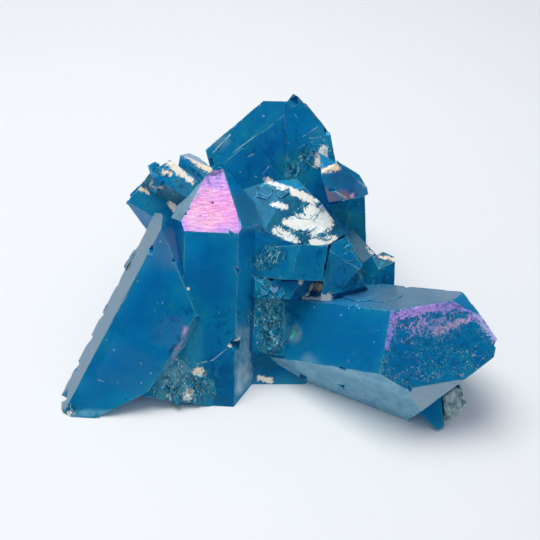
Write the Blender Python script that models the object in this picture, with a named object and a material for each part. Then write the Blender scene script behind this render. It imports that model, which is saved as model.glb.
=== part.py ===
"""A hand-sized cluster of aqua aura quartz, lying on its flat underside.

Every crystal and every broken piece is convex, so each one starts as a cube that is trimmed by flat planes. A
whole crystal is placed by its tip and its axis, and takes the angles of quartz. A broken piece is placed by a
middle point,
and each of its faces by the way it looks and by how far it lies from that point. The pieces that
have grown together are joined in one solid. Sizes are in millimetres and degrees: X right, Y back, Z up.
"""

import math
import random

import bmesh
import bpy
from mathutils import Matrix, Vector

MM = 0.001
STOCK = 400.0  # the cube that each piece is trimmed from
SIDES = 6
RHOMB_ANGLE = 51.8  # between the normal of a quartz tip face and the crystal's axis
SAME_CORNER = 0.005  # corners closer than this are one, as at a tip where six planes meet
CLEARANCE = 0.3  # between the crust and the quartz

# ---- Whole points. "lean" is the axis's angle from the vertical, towards "heading". Around the axis, "sides" is
# how far each prism face lies from the axis through the tip, and "tips" shifts the tip face above it.
UPRIGHT_POINT = dict(
    tip=(-10.3, 15, 38.5), lean=29.7, heading=86, roll=-93.6, length=60, sides=(8.2, 8.5, 7.5, 9, 7.1, 9.1),
    tips=(-2.8, -1.3, 1.3, 0, -0.1, 0.1),
)
LYING_POINT = dict(
    tip=(44, -20.4, 18.9), lean=69.9, heading=-33.9, roll=-167.3, length=48,
    sides=(11.2, 12.4, 17, 9, 9.6, 9.6), tips=(-4.6, 1.1, -0.4, 0, 1.9, 2.2),
)
BACK_POINTS = (
    dict(tip=(6, 46, 27), lean=62, heading=92, roll=-75, length=42, sides=(8, 9, 8, 8, 9, 8),
        tips=(-2, 0, 1, 0, -1, 0)),
    dict(tip=(-26, 36, 17), lean=74, heading=128, roll=-60, length=38, sides=(6, 7, 6, 6, 6, 7),
        tips=(0, -1, 0, 1, 0, 0)),
    dict(tip=(11, 41, 11), lean=80, heading=78, roll=-80, length=34, sides=(5.5, 6, 5, 6, 5.5, 5),
        tips=(0, 1, 0, -1, 0, 0)),
    dict(tip=(-8, 42, 11), lean=82, heading=100, roll=-95, length=26, sides=(4.5, 4.5, 5, 4.5, 4, 4.5)),
    dict(tip=(-27, 18, 9), lean=80, heading=163, roll=-70, length=26, sides=(5, 4.5, 5, 4.5, 5, 4.5),
        tips=(0, 1, 0, 0, 1, 0)),
    dict(tip=(-19, 38, 5), lean=88, heading=122, roll=-85, length=24, sides=(3.5, 4, 3.5, 4, 3.5, 3.5)),
    dict(tip=(20, 17, 5), lean=84, heading=24, roll=-80, length=24, sides=(3.5, 4, 3.5, 3.5, 4, 3.5)),
    dict(tip=(-2, 33, 35), lean=38, heading=95, roll=-100, length=30, sides=(5, 5.5, 5, 5, 5.5, 5),
        tips=(0, 0, 1, 0, 0, 1)),
    dict(tip=(13, 31, 16), lean=66, heading=60, roll=-70, length=24, sides=(4, 4, 4.5, 4, 4, 4)),
)

# ---- Broken pieces. Each face is (way it looks, counted from +X towards +Y; its tilt upwards; its distance).
LEFT_BLADE = dict(
    middle=(-27, -6, 14), front=(-94, 37, 3), edge_strip=(-172, 37, 5), outer=(137, 0, 8),
    outer_low=(129, -13, 7.5), top=(58, 37, 21.5), top_right=(37, 24, 18), fracture=(-44, -4, 10),
    fracture_top=(-7, 31, 12.5), under=(-48, -47, 13.5), toe=(-142, -29, 23.5), back=(86, -37, 7),
)
FRACTURE_FAN = dict(
    middle=(-18, -10, 5), front=(-78, 34, 3.5), under=(-105, -48, 7), top=(83, 85, 5), left=(159, 17, 4),
    right=(0, 0, 9), back=(102, -34, 5.5),
)
TALL_SLAB = dict(
    middle=(3, 27, 36), front=(-84, 25, 5.5), top_strip=(-101, 42, 7), upper_left=(142, 36, 8.5),
    summit=(86, 52, 7.5), left=(-176, -14, 16), bevel=(-69, 32, 6.5), right=(30, 31, 8),
    lower_right=(4, 11, 10), back=(96, -25, 11.5), under=(0, -90, 22),
)
SLAB_SPUR = dict(
    middle=(8, 27, 38), front=(-70, 22, 3.5), upper_left=(151, 26, 6.5), upper_right=(50, 44, 5),
    right=(31, 32, 3), lower_right=(8, 10, 4.5), left=(175, -7, 4), under=(-96, -62, 9.5),
    back=(110, -22, 5.5),
)
LEFT_STUB = dict(
    middle=(-22, 20, 25), front=(-100, 40, 7.5), sliver=(-121, -17, 7), lower_left=(-161, -25, 7),
    tip=(148, 33, 5.5), tip_top=(138, 39, 6), top=(46, 34, 6.5), back=(80, -40, 6.5), right=(0, 0, 14),
    under=(-60, -70, 14),
)
LEFT_STUB_STEP = dict(
    middle=(-18, 20, 28), top=(-95, 46, 9.5), riser=(-119, -10, 6.5), left=(144, 36, 6.5),
    upper_left=(130, 43, 6), upper_right=(45, 33, 2), back=(85, -46, 2.5), right=(0, 0, 10),
)
LEFT_CHIP = dict(
    middle=(-15, 20, 32), lower=(-105, 28, 5), upper=(-67, 58, 5), edge=(48, 56, 3), left=(171, 8, 4),
    lower_left=(-146, -45, 0.5), back=(75, -28, 3), right=(0, 0, 7), upper_left=(148, 32, 5),
    upper_right=(31, 22, 2.5),
)
PALE_LEDGE = dict(
    middle=(2, 12, 22), slope=(-110, 66, 6.5), top_strip=(-93, 79, 8), ledge=(-78, 59, 6),
    right=(31, 28, 10.5), front_left=(-108, -9, 4.5), front=(-89, -18, 5.5), front_right=(-40, -46, 6.5),
    back=(90, 0, 14), left=(180, 0, 14), under=(0, -90, 12),
)
LEDGE_WEDGE = dict(
    middle=(15, 5, 20), upper=(-75, 48, 8.5), lower=(-104, 10, 7), right=(21, 19, 2.5),
    upper_left=(126, 35, 3.5), left=(162, 5, 2), lower_right=(-23, -30, 2.5), back=(105, -48, 3.5),
)
WEDGE_FOOT = dict(
    middle=(15, 5, 16), front=(-78, 38, 7.5), top=(105, 40, -1), right=(44, 34, 1), under=(-73, -22, 5.5),
    left=(-177, -19, 2), back=(102, -38, 6.5),
)
BLUE_STEP = dict(
    middle=(8, 6, 20), front=(-88, 30, 9), left=(-123, 33, 9.5), right=(-1, -8, 2.5), under=(-93, -57, 3),
    top=(89, 44, 2), back=(92, -30, 3),
)
RECESS_WALL = dict(
    middle=(1, 8, 20), front=(-100, 28, 7), under=(-89, -57, 4.5), top=(62, 40, 2.5), right=(-1, -11, 3.5),
    left=(180, 0, 5), back=(80, -28, 5),
)
ROUGH_COLUMN = dict(
    middle=(0, -2, 12), front=(-84, 34, 3), front_right=(-49, 28, 4), left=(-151, 20, 4.5),
    top=(-57, 83, 5.5), under=(-103, -39, 8), back=(96, -34, 7), right=(0, 0, 10),
)
COLUMN_FOOT = dict(
    middle=(0, -4, 5), front=(-78, 18, 3), front_right=(-16, 11, 4), under=(-39, -40, 7),
    left=(-140, 13, 7.5), top=(-14, 72, 1), back=(102, -18, 11), right=(0, 0, 12),
)
COLUMN_STEP = dict(
    middle=(2, 2, 16), front=(-90, 46, 5.5), top=(25, 88, 4.5), under=(-92, -56, 1.5),
    front_right=(-43, 2, 5.5), left=(-158, 21, 7), back=(90, -46, 4.5), right=(0, 0, 7),
)
RIGHT_CAP = dict(
    middle=(14, 17, 28), upper=(-62, 38, 8.5), lower=(-92, 11, 8), right=(42, 38, 5), corner=(8, 7, 6),
    lower_right=(-50, -53, 1), upper_left=(-138, 78, 11), under=(-76, -60, -0.5), left=(179, -17, 0.5),
    back=(118, -38, 3.5),
)
CAP_SLIVER = dict(
    middle=(15, 22, 27), front=(-60, 25, 6), top=(49, 42, 4), right=(24, 25, 4.5), under=(-59, -57, 1),
    left=(169, -3, 0), back=(120, -25, 2),
)
RIGHT_POST = dict(
    middle=(18, 18, 20), front=(-82, 12, 6), right=(5, 3, 2), front_left=(-118, 12, 6.5),
    top=(111, 43, 4.5), under=(-98, -52, 4), back=(98, -12, 3), left=(180, 0, 7),
)
POST_FOOT = dict(
    middle=(20, 12, 15), top=(-70, 50, 5.5), right=(34, 30, 2.5), front=(-50, -8, 3),
    left=(-168, -32, -0.5), back=(110, -50, 4.5),
)
SMALL_POINT = dict(
    middle=(24, 6, 13), front=(-80, 14, 3.5), left=(-143, 25, 5), right=(2, 1, 2), tip=(-114, 60, 7),
    tip_left=(118, 37, 6), tip_right=(54, 40, 6), under=(0, -90, 11), back=(100, -14, 5),
)
FRONT_SPLINTER = dict(
    middle=(33, -17, 5), front=(-88, 40, 2), left=(129, 22, 1.5), lower_left=(-152, -40, 5),
    lower_right=(-57, -40, 7), right=(3, 6, 1), top=(142, 75, 1.5), back=(92, -40, 7),
)
BASE_MIDDLE = dict(
    middle=(0, 10, 9), top=(80, 80, 14.5), front=(-90, 45, 8), front_left=(-140, 25, 17),
    front_right=(-50, 30, 13), right=(5, 35, 17), left=(178, 20, 20), back=(97, 8, 16),
    back_right=(42, 30, 18), back_left=(138, 12, 19),
)
BASE_LEFT = dict(
    middle=(-8, 20, 9), top=(-150, 70, 14), front=(-90, 0, 12), right=(-10, 10, 14), left=(165, 30, 13),
    back=(70, 25, 10), back_left=(120, -12, 14),
)
BASE_RIGHT = dict(
    middle=(12, 20, 8), top=(60, 62, 7), front=(-90, 30, 8), right=(20, -8, 7), left=(180, 10, 12),
    back=(110, 30, 9), back_right=(60, -5, 11),
)
BROKEN_PIECES = (
    LEFT_BLADE, FRACTURE_FAN, TALL_SLAB, SLAB_SPUR, LEFT_STUB, LEFT_STUB_STEP, LEFT_CHIP, PALE_LEDGE,
    LEDGE_WEDGE, WEDGE_FOOT, BLUE_STEP, RECESS_WALL, ROUGH_COLUMN, COLUMN_FOOT, COLUMN_STEP, RIGHT_CAP,
    CAP_SLIVER, RIGHT_POST, POST_FOOT, SMALL_POINT, FRONT_SPLINTER, BASE_MIDDLE, BASE_LEFT, BASE_RIGHT,
)

# ---- Relief. A patch is a part of a face, given by its centre, the way it looks, and its half width and half
# height. On it grow "count" thin plates with broken rims, "thick" high, "radius" wide and tipped by up to "tip".
GROWTH_PATCHES = (
    dict(centre=(7.8, 10, 27), heading=-78, rise=59, half=(3.2, 2.4), count=5, radius=2.6, thick=0.45, tip=3),
    dict(centre=(4.5, 7, 25.8), heading=-78, rise=59, half=(1.8, 1.0), count=3, radius=1.7, thick=0.4, tip=4),
    dict(centre=(11.4, 7.4, 25.2), heading=-78, rise=59, half=(1.4, 0.8), count=2, radius=1.5, thick=0.4,
        tip=4),
    dict(centre=(1.5, 16, 30.8), heading=-110, rise=66, half=(2.6, 1.4), count=3, radius=1.8, thick=0.3,
        tip=3),
    dict(centre=(-24, 14.3, 33.6), heading=-119, rise=-10, half=(1.6, 1.2), count=3, radius=1.3, thick=0.4,
        tip=12),
    dict(centre=(-21.5, 15.4, 36.3), heading=-95, rise=46, half=(2.4, 1.2), count=4, radius=1.4, thick=0.4,
        tip=12),
    dict(centre=(15.9, 0.4, 27.2), heading=-75, rise=48, half=(1.6, 1.4), count=2, radius=1.4, thick=0.3,
        tip=5),
)
BROKEN_PATCHES = (
    dict(centre=(0, -5.4, 12.4), heading=-84, rise=34, half=(1.8, 5.4), count=15, radius=1.3, thick=0.6,
        tip=26),
    dict(centre=(0.2, -2.3, 19.4), heading=-90, rise=46, half=(2.4, 1.8), count=7, radius=1.2, thick=0.5,
        tip=24),
    dict(centre=(-16.2, -15, 3.6), heading=-78, rise=34, half=(4.6, 2.4), count=15, radius=1.4, thick=0.6,
        tip=26),
    dict(centre=(-0.3, 2.3, 25.8), heading=-123, rise=33, half=(1.2, 2.6), count=5, radius=1.1, thick=0.4,
        tip=20),
    dict(centre=(16.5, -0.6, 20.4), heading=-78, rise=38, half=(1.8, 1.8), count=4, radius=1.1, thick=0.4,
        tip=18),
    dict(centre=(8.9, 21.6, 35.6), heading=-84, rise=25, half=(2.2, 2.4), count=6, radius=1.4, thick=0.5,
        tip=16),
)
BROKEN_RELIEF_SEED = 4
GROWTH_RELIEF_SEED = 9
PLATE_SIDES = 6
# Low growth steps on every large face that looks back: how many, how thick, and their width in parts of the
# face's own.
BACK_STEPS = dict(smallest_face=36.0, count=2, thick=0.35, share=0.3, seed=3)
# Bites out of edges: the middle of the cube that takes each one, and the cube's width.
BITES = (
    (-12.6, 14.2, 37.4, 2.0), (-9.8, 15.4, 38.6, 1.3), (-42.6, -14.6, 1.2, 2.4), (-40.4, -9.6, 5.2, 2.2),
    (-37.6, -6.2, 9.4, 2.0), (-35.5, -2.8, 13.0, 2.0), (-41.6, -19.4, 0.6, 1.8), (-6.4, -10.2, 11.4, 2.4),
    (6.6, -10.2, 1.6, 1.6), (14.4, -15.2, 3.8, 1.6), (5.2, 25.6, 46.6, 1.6), (-1.8, 27.2, 46.6, 1.6),
    (12.2, 24.8, 39.8, 1.4), (-30.2, 15.2, 29.4, 1.6), (43.6, -17.0, 18.2, 1.2),
)
BITES_ALONG_EDGES = 120
BITE_SIZES = (0.7, 2.0)
BITE_SEED = 11
SHORTEST_BITTEN_EDGE = 3.0
SHARPEST_SPARED_EDGE = 25.0  # degrees between the faces beside an edge, under which it takes no bite
# Little points between the large ones, low down at the back and the sides.
LITTLE_POINTS = dict(count=24, length=(6, 12), width=(1.3, 2.6), fan=(-15, 195), reach=(15, 24), seed=7)

CRUST = dict(
    middle=(35, -16, 3), front=(-95, 35, 3.5), front_low=(-70, -20, 5), right=(10, 20, 4),
    right_low=(-20, -25, 4.5), top=(60, 70, 3.5), upper_left=(170, 40, 4), left=(-175, -10, 3),
    back=(95, 10, 4),
)


def direction(heading, rise):
    """The unit vector that looks along heading and is tilted up by rise."""
    heading, rise = math.radians(heading), math.radians(rise)
    return Vector((math.cos(rise) * math.cos(heading), math.cos(rise) * math.sin(heading), math.sin(rise)))


def trimmed(name, planes):
    """A cube trimmed by planes, each one a point and the outward normal of the face that it leaves."""
    shape = bmesh.new()
    bmesh.ops.create_cube(shape, size=STOCK)
    for point, normal in planes:
        everything = shape.verts[:] + shape.edges[:] + shape.faces[:]
        cut = bmesh.ops.bisect_plane(shape, geom=everything, plane_co=point, plane_no=normal, clear_outer=True)
        rim = [item for item in cut["geom_cut"] if isinstance(item, bmesh.types.BMEdge)]
        if rim:
            bmesh.ops.contextual_create(shape, geom=rim)
    bmesh.ops.remove_doubles(shape, verts=shape.verts, dist=SAME_CORNER)
    bmesh.ops.recalc_face_normals(shape, faces=shape.faces)
    bmesh.ops.scale(shape, vec=(MM, MM, MM), verts=shape.verts)
    mesh = bpy.data.meshes.new(name)
    shape.to_mesh(mesh)
    shape.free()
    return bpy.data.objects.new(name, mesh)


def floor_plane():
    """The flat underside that the cluster rests on."""
    return Vector((0, 0, 0)), Vector((0, 0, -1))


def crystal(name, tip, lean, heading, roll, length, sides, tips=(0,) * SIDES, grow=0.0):
    """A six-sided quartz point: a prism face every 60 degrees, with a slanted tip face right above each one."""
    turn = Matrix.Rotation(math.radians(heading), 3, "Z")
    tilt = Matrix.Rotation(math.radians(lean), 3, "Y")
    frame = turn @ tilt @ turn.inverted()
    axis = frame @ Vector((0, 0, 1))
    tip = Vector(tip)
    slant = 90 - RHOMB_ANGLE
    planes = [floor_plane(), (tip - axis * length, -axis)]
    for index, (side, shift) in enumerate(zip(sides, tips)):
        around = roll + index * 360 / SIDES
        side_normal = frame @ direction(around, 0)
        tip_normal = frame @ direction(around, slant)
        planes.append((tip + side_normal * (side + grow), side_normal))
        planes.append((tip + axis * shift + tip_normal * grow, tip_normal))
    return trimmed(name, planes)


def broken_piece(name, middle, grow=0.0, **faces):
    """A piece broken off along flat faces: each is (heading, rise, distance from the middle)."""
    middle = Vector(middle)
    planes = [floor_plane()]
    for heading, rise, distance in faces.values():
        normal = direction(heading, rise)
        planes.append((middle + normal * (distance + grow), normal))
    return trimmed(name, planes)


def combine(body, tools, operation):
    """Adds all the tools to body in one go, or cuts body with them, and removes the tools."""
    group = bpy.data.collections.new("tools")
    bpy.context.scene.collection.children.link(group)
    bpy.context.scene.collection.objects.link(body)
    for tool in tools:
        group.objects.link(tool)
    boolean = body.modifiers.new(operation, "BOOLEAN")
    boolean.operation = operation
    boolean.solver = "EXACT"
    boolean.operand_type = "COLLECTION"
    boolean.collection = group
    graph = bpy.context.evaluated_depsgraph_get()
    mesh = bpy.data.meshes.new_from_object(body.evaluated_get(graph))
    body.modifiers.clear()
    body.data = mesh
    for tool in tools:
        bpy.data.objects.remove(tool)
    bpy.data.collections.remove(group)
    bpy.context.scene.collection.objects.unlink(body)


def drop_crumbs(body):
    """Keeps the largest shell of a solid: loose crumbs go, and hollows sealed inside it are filled."""
    shape = bmesh.new()
    shape.from_mesh(body.data)
    waiting = set(shape.verts)
    shells = []
    while waiting:
        shell = {waiting.pop()}
        edge_of_shell = set(shell)
        while edge_of_shell:
            around = {edge.other_vert(vertex) for vertex in edge_of_shell for edge in vertex.link_edges}
            edge_of_shell = around - shell
            shell |= edge_of_shell
        waiting -= shell
        shells.append(shell)
    largest = max(shells, key=len)
    bmesh.ops.delete(shape, geom=[vertex for vertex in shape.verts if vertex not in largest], context="VERTS")
    bmesh.ops.remove_doubles(shape, verts=shape.verts, dist=SAME_CORNER * MM)
    shape.to_mesh(body.data)
    shape.free()


def plates(chance, centre, heading, rise, half, count, radius, thick, tip):
    """Thin plates for a patch of a face. Each is a flat slab sunk in the face, with sides broken at random."""
    made = []
    normal = direction(heading, rise)
    across = direction(heading + 90, 0)
    up = normal.cross(across)
    for _ in range(count):
        shift = across * chance.uniform(-half[0], half[0]) + up * chance.uniform(-half[1], half[1])
        middle = Vector(centre) + shift
        lean = across * math.tan(math.radians(chance.uniform(-tip, tip)))
        lean += up * math.tan(math.radians(chance.uniform(-tip, tip)))
        top = (normal + lean).normalized()
        turn = chance.uniform(0, 360)
        height = thick * chance.uniform(0.5, 1)
        planes = [floor_plane(), (middle + top * height, top), (middle - normal * thick * 2, -normal)]
        for side in range(PLATE_SIDES):
            around = math.radians(turn + (side + chance.uniform(-0.3, 0.3)) * 360 / PLATE_SIDES)
            outward = across * math.cos(around) + up * math.sin(around)
            rim = middle + outward * radius * chance.uniform(0.55, 1)
            planes.append((rim, (outward + normal * 0.25).normalized()))
        made.append(trimmed("plate", planes))
    return made


def flat_faces(body):
    """The faces of a solid with the lines inside each flat one dissolved, in a mesh of its own."""
    shape = bmesh.new()
    shape.from_mesh(body.data)
    bmesh.ops.dissolve_limit(shape, angle_limit=math.radians(0.5), verts=shape.verts, edges=shape.edges)
    return shape


def back_steps(body, smallest_face, count, thick, share, seed):
    """Growth steps for the large faces of a solid that look back and are clear of the floor."""
    chance = random.Random(seed)
    shape = flat_faces(body)
    made = []
    for face in shape.faces:
        normal = face.normal
        width = math.sqrt(face.calc_area()) / MM
        centre = face.calc_center_median_weighted() / MM
        if width ** 2 < smallest_face or normal.y < 0.1 or normal.z < -0.3 or centre.z < width / 3:
            continue
        heading = math.degrees(math.atan2(normal.y, normal.x))
        rise = math.degrees(math.asin(normal.z))
        half = (width * 0.22, width * 0.22)
        made += plates(chance, centre, heading, rise, half, count, width * share, thick, 0)
    shape.free()
    return made


def open_edges(body):
    """The long outer edges of a solid, as (start, end, the way the edge looks), in millimetres."""
    shape = flat_faces(body)
    found = []
    for edge in shape.edges:
        length = edge.calc_length() / MM
        if len(edge.link_faces) != 2 or not edge.is_convex or length < SHORTEST_BITTEN_EDGE:
            continue
        if math.degrees(edge.calc_face_angle()) < SHARPEST_SPARED_EDGE:
            continue
        start, end = (vertex.co / MM for vertex in edge.verts)
        outward = (edge.link_faces[0].normal + edge.link_faces[1].normal).normalized()
        if max(start.z, end.z) > 1:
            found.append((start.copy(), end.copy(), outward))
    shape.free()
    return found


def bites(body):
    """Small cubes of random turn, which bite chips out of the edges: some at set places, the rest by chance."""
    chance = random.Random(BITE_SEED)
    edges = open_edges(body)
    lengths = [(end - start).length for start, end, outward in edges]
    places = [(Vector(bite[:3]), bite[3]) for bite in BITES]
    for start, end, outward in chance.choices(edges, weights=lengths, k=BITES_ALONG_EDGES):
        size = chance.uniform(*BITE_SIZES)
        place = start.lerp(end, chance.uniform(0.05, 0.95)) + outward * size * chance.uniform(0.3, 0.5)
        places.append((place, size))
    kept = []
    for place, size in places:
        if all((place - other).length > (size + wide) * 0.9 for other, wide in kept):
            kept.append((place, size))
    shape = bmesh.new()
    for place, size in kept:
        axis = Vector(chance.gauss(0, 1) for _ in range(3)).normalized()
        turn = Matrix.Rotation(chance.uniform(0, math.pi), 4, axis)
        bmesh.ops.create_cube(shape, size=size * MM, matrix=Matrix.Translation(place * MM) @ turn)
    mesh = bpy.data.meshes.new("bites")
    shape.to_mesh(mesh)
    shape.free()
    return bpy.data.objects.new("bites", mesh)


def little_points(count, length, width, fan, reach, seed):
    """Short crystals that fan out low down round the back, from the right side to the left one."""
    chance = random.Random(seed)
    middle = Vector(BASE_MIDDLE["middle"])
    made = []
    for index in range(count):
        heading = fan[0] + (fan[1] - fan[0]) * (index + chance.uniform(0.1, 0.9)) / count
        lean = chance.uniform(48, 82)
        size = chance.uniform(*width)
        tip = middle + direction(heading, 0) * chance.uniform(*reach)
        tip.z = chance.uniform(2, 12)
        sides = [size * chance.uniform(0.8, 1.2) for _ in range(SIDES)]
        made.append(crystal("point", tip, lean, heading, chance.uniform(0, 60), chance.uniform(*length), sides))
    return made


def quartz():
    """The whole cluster of grown-together quartz: the points, the broken pieces and the relief on them."""
    pieces = [crystal("point", **point) for point in (LYING_POINT, *BACK_POINTS)]
    pieces += little_points(**LITTLE_POINTS)
    pieces += [broken_piece("piece", **piece) for piece in BROKEN_PIECES]
    for seed, patches in ((GROWTH_RELIEF_SEED, GROWTH_PATCHES), (BROKEN_RELIEF_SEED, BROKEN_PATCHES)):
        chance = random.Random(seed)
        for patch in patches:
            pieces += plates(chance, **patch)
    body = crystal("quartz_cluster", **UPRIGHT_POINT)
    combine(body, pieces, "UNION")
    combine(body, back_steps(body, **BACK_STEPS), "UNION")
    combine(body, [bites(body)], "DIFFERENCE")
    drop_crumbs(body)
    return body


def crust():
    """The crumb of pale rock under the lying point, clear of the quartz around it."""
    body = broken_piece("matrix_crust", **CRUST)
    lying = crystal("cutter", **LYING_POINT, grow=CLEARANCE)
    splinter = broken_piece("cutter", **FRONT_SPLINTER, grow=CLEARANCE)
    combine(body, [lying, splinter], "DIFFERENCE")
    return body


def material(name, colour, roughness, clear=0.0):
    """A Principled material of one colour, see-through by the part given as clear."""
    made = bpy.data.materials.new(name)
    made.use_nodes = True
    shader = made.node_tree.nodes["Principled BSDF"]
    shader.inputs["Base Color"].default_value = (*colour, 1)
    shader.inputs["Roughness"].default_value = roughness
    shader.inputs["Metallic"].default_value = 0.0
    shader.inputs["Transmission Weight"].default_value = clear
    made.diffuse_color = (*colour, 1)
    return made


def rest_on_origin(nodes):
    """Moves the meshes so that the origin is under the middle of them all, on the surface they rest on."""
    points = [vertex.co for node in nodes for vertex in node.data.vertices]
    low = Vector(min(point[axis] for point in points) for axis in range(3))
    high = Vector(max(point[axis] for point in points) for axis in range(3))
    middle = (low + high) / 2
    for node in nodes:
        node.data.transform(Matrix.Translation((-middle.x, -middle.y, -low.z)))


for old in list(bpy.data.objects):
    bpy.data.objects.remove(old)
cluster = bpy.data.collections.new("aqua aura quartz cluster")
bpy.context.scene.collection.children.link(cluster)
quartz_node = quartz()
quartz_node.data.materials.append(material("coated quartz", (0.02, 0.30, 0.52), 0.08, clear=0.6))
crust_node = crust()
crust_node.data.materials.append(material("pale rock", (0.55, 0.58, 0.54), 0.8))
rest_on_origin([quartz_node, crust_node])
for node in (quartz_node, crust_node):
    cluster.objects.link(node)
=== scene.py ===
"""The looks of a hand-sized cluster of aqua aura quartz: clear quartz with a hot-bonded film of metal.

Lengths are in metres, X right, Y back and Z up, with the origin under the middle of the cluster.
"""

import math

import bmesh
import bpy
import numpy as np
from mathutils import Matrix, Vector
from mathutils.geometry import delaunay_2d_cdt


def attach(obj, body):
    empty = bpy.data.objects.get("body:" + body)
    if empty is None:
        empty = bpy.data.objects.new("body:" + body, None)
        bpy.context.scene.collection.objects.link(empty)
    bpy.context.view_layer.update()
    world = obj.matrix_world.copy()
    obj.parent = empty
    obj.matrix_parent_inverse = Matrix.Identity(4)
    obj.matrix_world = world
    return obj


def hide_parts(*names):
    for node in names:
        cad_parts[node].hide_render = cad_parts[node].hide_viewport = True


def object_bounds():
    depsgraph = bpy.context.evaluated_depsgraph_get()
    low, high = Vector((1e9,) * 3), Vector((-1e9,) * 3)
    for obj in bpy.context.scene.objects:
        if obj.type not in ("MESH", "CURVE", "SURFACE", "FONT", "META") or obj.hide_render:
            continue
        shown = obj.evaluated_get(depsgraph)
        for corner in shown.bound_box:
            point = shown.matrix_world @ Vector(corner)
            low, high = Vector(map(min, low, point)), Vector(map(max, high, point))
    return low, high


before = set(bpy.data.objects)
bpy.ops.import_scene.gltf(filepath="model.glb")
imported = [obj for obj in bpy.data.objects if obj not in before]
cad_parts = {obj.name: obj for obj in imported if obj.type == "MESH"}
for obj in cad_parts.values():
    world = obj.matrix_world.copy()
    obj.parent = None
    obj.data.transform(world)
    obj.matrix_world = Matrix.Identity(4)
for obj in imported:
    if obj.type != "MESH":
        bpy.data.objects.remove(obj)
cad_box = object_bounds()

# ======== Table, light and camera ========
# A plain pale table top under one wide soft light, above and behind the cluster, with pale walls all round.
# The camera looks down from the front, a forearm's length away.

MM = 0.001
LOOK_AT = Vector((-0.35, -11.15, 22.5)) * MM
CAMERA_DISTANCE = 210 * MM
CAMERA_RISE = math.radians(40)
LENS = 69.2


def linear(*levels):
    """Screen colour levels from 0 to 255 turned to light: ((c + 0.055) / 1.055) to the power 2.4."""
    return tuple(((level / 255 + 0.055) / 1.055) ** 2.4 for level in levels)


def aim(thing, target):
    """Turns a camera or a light at target, so that its -Z axis points there."""
    thing.rotation_euler = (target - thing.location).to_track_quat("-Z", "Y").to_euler()


def soft_light(name, place, size, power, colour):
    """A square area light of the given edge length, aimed at the cluster."""
    light = bpy.data.lights.new(name, "AREA")
    light.shape = "SQUARE"
    light.size = size
    light.energy = power
    light.color = colour
    lamp = bpy.data.objects.new(name, light)
    bpy.context.scene.collection.objects.link(lamp)
    lamp.location = place
    aim(lamp, LOOK_AT)
    return lamp


view = bpy.data.cameras.new("camera")
view.lens = LENS
view.clip_start = 0.01
camera = bpy.data.objects.new("camera", view)
bpy.context.scene.collection.objects.link(camera)
camera.location = LOOK_AT + CAMERA_DISTANCE * Vector((0, -math.cos(CAMERA_RISE), math.sin(CAMERA_RISE)))
aim(camera, LOOK_AT)
bpy.context.scene.camera = camera
bpy.context.scene.view_settings.view_transform = "Standard"

world = bpy.data.worlds.new("room")
bpy.context.scene.world = world
world.use_nodes = True
walls = world.node_tree.nodes["Background"]
walls.inputs["Color"].default_value = (0.64, 0.69, 0.76, 1)
walls.inputs["Strength"].default_value = 0.55
soft_light("overhead", place=Vector((-0.07, 0.06, 0.42)), size=0.30, power=1.54, colour=(1.0, 0.975, 0.94))

HALF_TABLE = 1.5
table_mesh = bpy.data.meshes.new("table")
table_mesh.from_pydata(
    [(-HALF_TABLE, -HALF_TABLE, 0), (HALF_TABLE, -HALF_TABLE, 0),
     (HALF_TABLE, HALF_TABLE, 0), (-HALF_TABLE, HALF_TABLE, 0)],
    [], [(0, 1, 2, 3)],
)
table = bpy.data.objects.new("table", table_mesh)
bpy.context.scene.collection.objects.link(table)
table_finish = bpy.data.materials.new("white table top")
table_finish.use_nodes = True
table_shader = table_finish.node_tree.nodes["Principled BSDF"]
table_shader.inputs["Base Color"].default_value = (0.86, 0.885, 0.905, 1)
table_shader.inputs["Roughness"].default_value = 0.5
table.data.materials.append(table_finish)

# ======== The grown-together quartz ========
# Points and broken slabs of clear quartz on one base, grown and broken as a single piece. Metal vapour was
# bonded to its skin, as a film that is blue all over and pink, violet, gold or grey where it is thinner.
# Over the film, some faces, lines and spots are painted reflections, painted highlights and painted light.

# The side of a triangle of the net in millimetres, the height of a row of them in steps, how many steps the
# net keeps clear of a face's rim, and the least angle in degrees of an edge that counts as sharp.
NET_STEP = 0.46
ROW = 0.866
RIM_GAP = 0.45
SHARP_EDGE = 20.0


def merged_copy(node, name):
    """A copy of a node's mesh, in which triangles share their corners."""
    shape = bmesh.new()
    shape.from_mesh(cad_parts[node].data)
    bmesh.ops.remove_doubles(shape, verts=shape.verts, dist=1e-7)
    mesh = bpy.data.meshes.new(name)
    shape.to_mesh(mesh)
    shape.free()
    thing = bpy.data.objects.new(name, mesh)
    bpy.context.scene.collection.objects.link(thing)
    return thing


def read(items, field, width):
    """One field of a mesh's vertices, edges or faces, as an array of rows."""
    kind = int if field == "vertices" or field == "edge" else float
    values = np.empty(len(items) * width, kind)
    items.foreach_get(field, values)
    return values.reshape(-1, width) if width > 1 else values


def zipped(long_side, short_side):
    """Triangles between two rows of points that share both ends, for a face too thin for points inside it."""
    made = []
    i = j = 0
    while i < len(long_side) - 1 or j < len(short_side) - 1:
        ahead = (i + 1) / (len(long_side) - 1) <= (j + 1) / (len(short_side) - 1)
        if (ahead and i < len(long_side) - 1) or j == len(short_side) - 1:
            corners = (long_side[i], long_side[i + 1], short_side[j])
            i += 1
        else:
            corners = (long_side[i], short_side[j + 1], short_side[j])
            j += 1
        if len(set(corners)) == 3:
            made.append(corners)
    return made


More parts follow.
